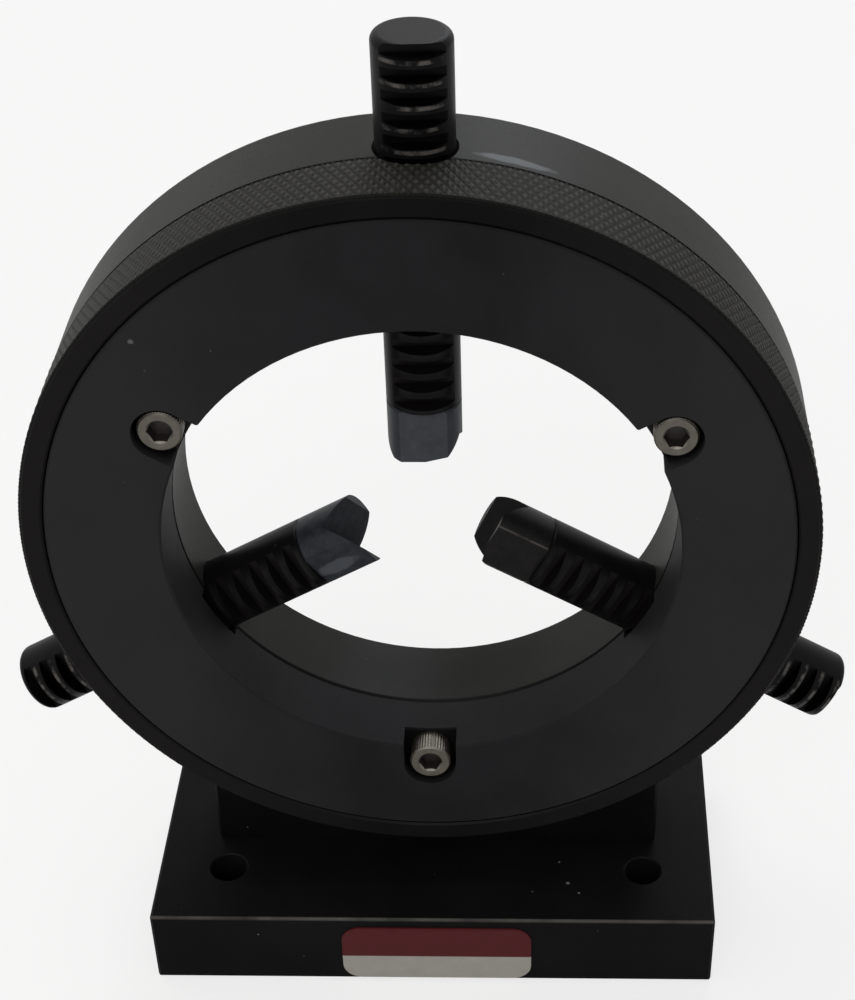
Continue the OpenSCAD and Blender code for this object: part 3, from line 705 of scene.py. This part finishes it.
knurlBand("ring_knurl", knurl["ring"], "scroll", False)
knurlBand("rim_knurl", knurl["rim"], "stand", True)


# a black strip laid in the joint behind the knurl, in three stretches between the rod holes, as painted
# shade in the gap there; lengths in mm, clear, which a stretch keeps from each rod, and third, from rod to
# rod, in degrees
jointShadeLine = {"from": -5.72, "narrow": 0.30, "wider": 0.60, "proud": 0.03, "deep": 0.12,
           "clear": 5.4, "third": 120, "steps": 90, "colour": "#060505", "rough": 1.0, "specular": 0.0}


# a black and quite matt skin, for the painted shade in the joint
def jointShadeMaterial():
    material, _, shader = startMaterial("paintedLightAndShade")
    shader.inputs["Base Color"].default_value = linearColour(jointShadeLine["colour"])
    shader.inputs["Roughness"].default_value = jointShadeLine["rough"]
    shader.inputs["Specular IOR Level"].default_value = jointShadeLine["specular"]
    return material


paintedLightAndShade = jointShadeMaterial()
for side, angle in jawAngles.items():
    mesh = bmesh.new()
    bmesh.ops.create_grid(mesh, x_segments=jointShadeLine["steps"], y_segments=1, size=0.5)
    radius = bodyRadius + jointShadeLine["proud"] * mm
    for vert in mesh.verts:
        turn = math.radians(angle + jointShadeLine["clear"]
                            + (vert.co.x + 0.5) * (jointShadeLine["third"] - 2 * jointShadeLine["clear"]))
        width = jointShadeLine["narrow"] + jointShadeLine["wider"] * abs(math.cos(turn))
        y = jointShadeLine["from"] + (width if vert.co.y > 0 else 0)
        vert.co = (radius * math.cos(turn), y * mm, radius * math.sin(turn) + axisHeight)
    inward = 1 - (jointShadeLine["proud"] + jointShadeLine["deep"]) * mm / bodyRadius
    for vert in newVerts(bmesh.ops.extrude_face_region(mesh, geom=mesh.faces[:])):
        vert.co = (vert.co.x * inward, vert.co.y, (vert.co.z - axisHeight) * inward + axisHeight)
    finishPiece("joint_shade_line_" + side, mesh, paintedLightAndShade, "stand")
print("oil lines laid in the joint")


# straight knurl round the heads of the plate screws; lengths in mm
headKnurl = {"teeth": 44, "radius": 3.43, "valley": 0.01, "depth": 0.09, "from": -16.50, "to": -12.75,
             "sink": 0.12, "lip": 0.10}
for side, angle in screwAngles.items():
    mesh = bmesh.new()
    bmesh.ops.create_cone(mesh, cap_ends=False, segments=headKnurl["teeth"] * 2,
                          radius1=headKnurl["radius"] * mm, radius2=headKnurl["radius"] * mm,
                          depth=(headKnurl["to"] - headKnurl["from"]) * mm)
    bmesh.ops.transform(mesh, matrix=Matrix.Rotation(math.radians(-90), 4, "X"), verts=mesh.verts)
    for vert in mesh.verts:
        count = round(math.atan2(vert.co.z, vert.co.x) / math.pi * headKnurl["teeth"])
        grown = headKnurl["radius"] + headKnurl["depth" if count % 2 else "valley"]
        vert.co.x *= grown / headKnurl["radius"]
        vert.co.z *= grown / headKnurl["radius"]
    rim = [edge for edge in mesh.edges if edge.is_boundary]
    for vert in newVerts(bmesh.ops.extrude_edge_only(mesh, edges=rim)):
        inward = (headKnurl["radius"] - headKnurl["sink"]) * mm / math.hypot(vert.co.x, vert.co.z)
        vert.co.x *= inward
        vert.co.z *= inward
        vert.co.y += math.copysign(headKnurl["lip"] * mm, vert.co.y)
    middle = screwMiddle(angle, (headKnurl["from"] + headKnurl["to"]) / 2 * mm)
    bmesh.ops.translate(mesh, verts=mesh.verts, vec=middle)
    finishPiece("head_knurl_" + side, mesh, screwSteel, "stand")
print("screw heads knurled")


# the plate on the front of the base: two colours, nothing printed on it; lengths in mm
label = {"left": -16.6, "right": 17.7, "low": 0.8, "high": 13.9, "corner": 3.4, "cornerSteps": 8,
         "thick": 0.28, "border": 0.35, "sunk": 0.02, "film": 0.06, "band": 6.6, "bandEdge": 0.05,
         "redDark": "#470f13", "redLight": "#53191c", "greyDark": "#928e87", "greyLight": "#a5a099",
         "cloud": 2.5, "scuff": 0.8, "scuffFrom": 0.72, "scuffTo": 0.80, "scuffed": 0.35,
         "scuffColour": "#c8c4bd", "bump": 0.03, "bumpStrength": 0.6, "rough": 0.42, "specular": 0.2}


# printed aluminium foil: dark red enamel above, bare grey below, with small pale scuffs
def labelMaterial():
    material, tree, shader = startMaterial("printedAluminiumFoil")
    place = addNode(tree, "TexCoord")
    axes = addNode(tree, "SeparateXYZ", inputs={0: (place, "Object")})
    cloud = addNode(tree, "TexNoise", inputs={
        "Vector": (place, "Object"), "Scale": 1 / (label["cloud"] * mm), "Detail": 5.0, "Roughness": 0.65})
    red = addNode(tree, "Mix", {"data_type": "RGBA"}, {
        0: (cloud, "Fac"), 6: linearColour(label["redDark"]), 7: linearColour(label["redLight"])})
    grey = addNode(tree, "Mix", {"data_type": "RGBA"}, {
        0: (cloud, "Fac"), 6: linearColour(label["greyDark"]), 7: linearColour(label["greyLight"])})
    above = addNode(tree, "MapRange", inputs={
        "Value": (axes, 2), "From Min": (label["band"] - label["bandEdge"]) * mm,
        "From Max": (label["band"] + label["bandEdge"]) * mm})
    twoTone = addNode(tree, "Mix", {"data_type": "RGBA"}, {0: (above, "Result"), 6: (grey, 2), 7: (red, 2)})
    scuff = addNode(tree, "TexNoise", inputs={
        "Vector": (place, "Object"), "Scale": 1 / (label["scuff"] * mm), "Detail": 4.0})
    spots = addNode(tree, "MapRange", inputs={
        "Value": (scuff, "Fac"), "From Min": label["scuffFrom"], "From Max": label["scuffTo"],
        "To Max": label["scuffed"]})
    scuffed = addNode(tree, "Mix", {"data_type": "RGBA"}, {
        0: (spots, "Result"), 6: (twoTone, 2), 7: linearColour(label["scuffColour"])})
    bump = addNode(tree, "Bump", inputs={
        "Height": (scuff, "Fac"), "Distance": label["bump"] * mm, "Strength": label["bumpStrength"]})
    tree.links.new(scuffed.outputs[2], shader.inputs["Base Color"])
    tree.links.new(bump.outputs["Normal"], shader.inputs["Normal"])
    shader.inputs["Roughness"].default_value = label["rough"]
    shader.inputs["Specular IOR Level"].default_value = label["specular"]
    return material


def roundedPlate(name, inset, lift, thick, material):
    mesh = bmesh.new()
    bmesh.ops.create_grid(mesh, x_segments=1, y_segments=1, size=0.5)
    wide, tall = label["right"] - label["left"] - 2 * inset, label["high"] - label["low"] - 2 * inset
    bmesh.ops.scale(mesh, verts=mesh.verts, vec=(wide * mm, tall * mm, 1))
    bmesh.ops.bevel(mesh, geom=mesh.verts[:], offset=(label["corner"] - inset) * mm,
                    segments=label["cornerSteps"], profile=0.5, affect="VERTICES", material=-1)
    top = newVerts(bmesh.ops.extrude_face_region(mesh, geom=mesh.faces[:]))
    bmesh.ops.translate(mesh, verts=top, vec=(0, 0, thick * mm))
    bmesh.ops.rotate(mesh, verts=mesh.verts, matrix=Matrix.Rotation(math.radians(90), 3, "X"))
    middle = ((label["left"] + label["right"]) / 2 * mm, (basePlate["front"] - lift) * mm,
              (label["low"] + label["high"]) / 2 * mm)
    bmesh.ops.translate(mesh, verts=mesh.verts, vec=middle)
    finishPiece(name, mesh, material, "stand")


labelFoil = labelMaterial()
roundedPlate("label_rim", 0, 0, label["thick"], labelFoil)
roundedPlate("label_face", label["border"], label["thick"] - label["sunk"], label["film"], labelFoil)
print("label plate made, left blank")


# a matt pale table top that keeps the shadow; seen by the camera it is lifted towards white
table = {"half": 3.0, "drop": 0.00005, "colour": "#e6e6e6", "rough": 0.9, "specular": 0.1, "lift": 0.72}


def floorMaterial():
    material, tree, shader = startMaterial("paleTableTop")
    shader.inputs["Base Color"].default_value = linearColour(table["colour"])
    shader.inputs["Roughness"].default_value = table["rough"]
    shader.inputs["Specular IOR Level"].default_value = table["specular"]
    ray = addNode(tree, "LightPath")
    glow = addNode(tree, "Emission", inputs={"Color": (1, 1, 1, 1), "Strength": 1.0})
    seen = addNode(tree, "Math", {"operation": "MULTIPLY"}, {0: (ray, "Is Camera Ray"), 1: table["lift"]})
    blend = addNode(tree, "MixShader", inputs={0: (seen, 0), 1: (shader, 0), 2: (glow, 0)})
    tree.links.new(blend.outputs[0], tree.nodes["Material Output"].inputs["Surface"])
    return material


mesh = bmesh.new()
bmesh.ops.create_grid(mesh, x_segments=4, y_segments=4, size=table["half"])
bmesh.ops.translate(mesh, verts=mesh.verts, vec=(0, 0, -table["drop"]))
floorData = bpy.data.meshes.new("floor")
mesh.to_mesh(floorData)
mesh.free()
floor = bpy.data.objects.new("floor", floorData)
bpy.context.scene.collection.objects.link(floor)
floorData.materials.append(floorMaterial())

# a white studio: what the camera sees, and what shines or shows through, is white; the light it
# gives is less
studio = {"given": 0.45, "shown": 1.0}
world = bpy.data.worlds.new("studio")
bpy.context.scene.world = world
world.use_nodes = True
sky = world.node_tree
back = sky.nodes["Background"]
ray = addNode(sky, "LightPath")
seen = addNode(sky, "Math", {"operation": "MAXIMUM"}, {
    0: (ray, "Is Camera Ray"), 1: (ray, "Is Glossy Ray")})
shown = addNode(sky, "Math", {"operation": "MAXIMUM"}, {
    0: (seen, 0), 1: (ray, "Is Transmission Ray")})
level = addNode(sky, "MapRange", inputs={
    "Value": (shown, 0), "To Min": studio["given"], "To Max": studio["shown"]})
back.inputs["Color"].default_value = (1, 1, 1, 1)
sky.links.new(level.outputs["Result"], back.inputs["Strength"])

# round soft lamps, places and sizes in metres, power in watts
lampTarget = Vector((0, 0, 0.08))
lamps = {
    "window": {"at": (0.25, 1.05, 0.95), "size": 0.7, "power": 4, "colour": "#f3f7ff"},
    "ceiling": {"at": (-0.35, 0.25, 1.3), "size": 0.9, "power": 5, "colour": "#fff9f0"},
    "front": {"at": (-0.2, -1.2, 0.9), "size": 1.0, "power": 7, "colour": "#ffffff"},
}
for name, lamp in lamps.items():
    data = bpy.data.lights.new(name, "AREA")
    data.shape = "DISK"
    data.size = lamp["size"]
    data.energy = lamp["power"]
    data.color = linearColour(lamp["colour"])[:3]
    light = bpy.data.objects.new(name, data)
    light.location = lamp["at"]
    light.rotation_euler = (lampTarget - Vector(lamp["at"])).to_track_quat("-Z", "Y").to_euler()
    bpy.context.scene.collection.objects.link(light)

# the camera: its place in mm, angles in degrees, focal length, middle and frame in pixels, near
# and far limits in metres
view = {"at": (19.473, -271.126, 286.923), "azimuth": -0.6901, "elevation": 38.206, "roll": 0.9988,
        "focal": 2009.2, "middle": (563.59, 581.76), "frame": (855, 1000), "sensor": 36,
        "near": 0.01, "far": 20}
azimuth, elevation, roll = (math.radians(view[key]) for key in ("azimuth", "elevation", "roll"))
width, height = view["frame"]
backward = Vector((math.sin(azimuth) * math.cos(elevation), -math.cos(azimuth) * math.cos(elevation),
                   math.sin(elevation)))
levelRight = Vector((0, 0, 1)).cross(backward).normalized()
levelUp = backward.cross(levelRight)
rightward = math.cos(roll) * levelRight + math.sin(roll) * levelUp
upward = -math.sin(roll) * levelRight + math.cos(roll) * levelUp
cameraData = bpy.data.cameras.new("camera")
cameraData.sensor_width = view["sensor"]
cameraData.lens = view["focal"] / height * view["sensor"]
cameraData.shift_x = (width / 2 - view["middle"][0]) / height
cameraData.shift_y = (view["middle"][1] - height / 2) / height
cameraData.clip_start, cameraData.clip_end = view["near"], view["far"]
camera = bpy.data.objects.new("camera", cameraData)
camera.matrix_world = (Matrix.Translation(Vector(view["at"]) * mm)
                       @ Matrix((rightward, upward, backward)).transposed().to_4x4())
bpy.context.scene.collection.objects.link(camera)
bpy.context.scene.camera = camera
bpy.context.scene.view_settings.view_transform = "Standard"
print("floor, lamps and camera set")
